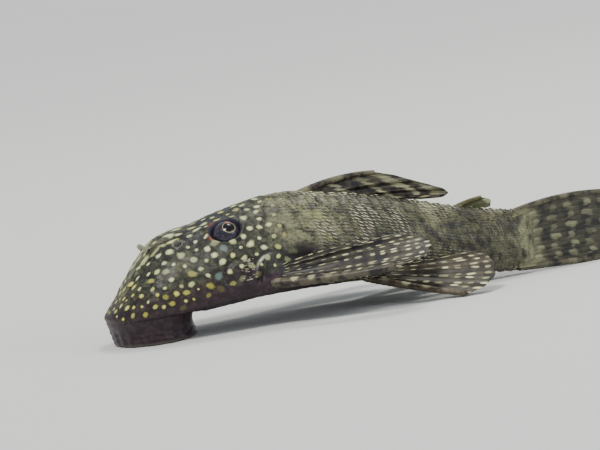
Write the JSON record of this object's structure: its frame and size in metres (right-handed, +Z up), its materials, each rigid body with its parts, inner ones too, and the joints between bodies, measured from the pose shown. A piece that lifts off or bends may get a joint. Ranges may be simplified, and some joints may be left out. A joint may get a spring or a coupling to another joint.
{
  "type": "bristlenose pleco",
  "caption": "Still life-size bristlenose pleco with a broad armoured head, folded dorsal fin, spread paired fins and a swept tail, resting on its sucker mouth.",
  "frame": {"origin": "on the floor, at the middle of the model's outer box seen from above", "axes": "the snout points along -X, the fish's left side is at -Y, and +Z is up"},
  "size_m": [0.1139, 0.0487, 0.0273],
  "materials": {
    "skin": "bony plates with fine spinules, dark olive brown with pale cream spots",
    "fin": "rayed membrane, brown grey with rows of pale dashes",
    "lip": "soft skin with small bumps, dark purple brown",
    "eye": "wet clear cornea over a dark iris with a thin gold ring"
  },
  "bodies": {
    "root": {"head": "skin", "trunk": "skin", "tail_stalk": "skin", "dorsal_fin": "fin", "adipose_fin": "fin", "anal_fin": "fin", "caudal_fin": "fin", "pectoral_fin_left": "fin", "pectoral_fin_right": "fin", "pelvic_fin_left": "fin", "pelvic_fin_right": "fin", "mouth_disc": "lip", "snout_bristle_left": "lip", "snout_bristle_right": "lip", "eye_left": "eye", "eye_right": "eye"}
  },
  "joints": []
}
